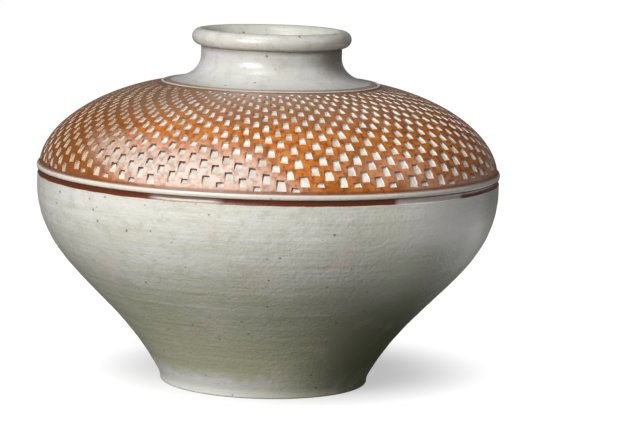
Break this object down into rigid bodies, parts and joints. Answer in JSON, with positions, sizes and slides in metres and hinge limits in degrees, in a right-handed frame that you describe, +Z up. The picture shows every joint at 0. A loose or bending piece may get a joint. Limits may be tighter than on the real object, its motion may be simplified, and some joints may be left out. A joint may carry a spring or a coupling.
{
  "type": "floor vase",
  "caption": "Wide stoneware floor vase: ring foot, bowl-shaped lower half, beaded belt, low domed shoulder, short flared neck and rolled rim, hollow inside.",
  "frame": {"origin": "centre of the foot, on the surface that the vase stands on", "axes": "+Z up along the axis of turning; the picture's camera looks along +Y"},
  "size_m": [0.424, 0.424, 0.324],
  "materials": {
    "body_glaze": "satin cream-grey ash glaze with small iron specks",
    "iron_slip": "satin rust-brown iron slip under glaze, cut through by small notches",
    "bead_glaze": "satin pale cream glaze",
    "foot_glaze": "satin cream-grey glaze, wiped off the resting face"
  },
  "bodies": {
    "root": {"foot_ring": "foot_glaze", "lower_section": "body_glaze", "belt_bead": "bead_glaze", "shoulder_section": "iron_slip", "neck_fillet": "bead_glaze", "neck_collar": "body_glaze", "rolled_rim": "body_glaze"}
  },
  "joints": []
}
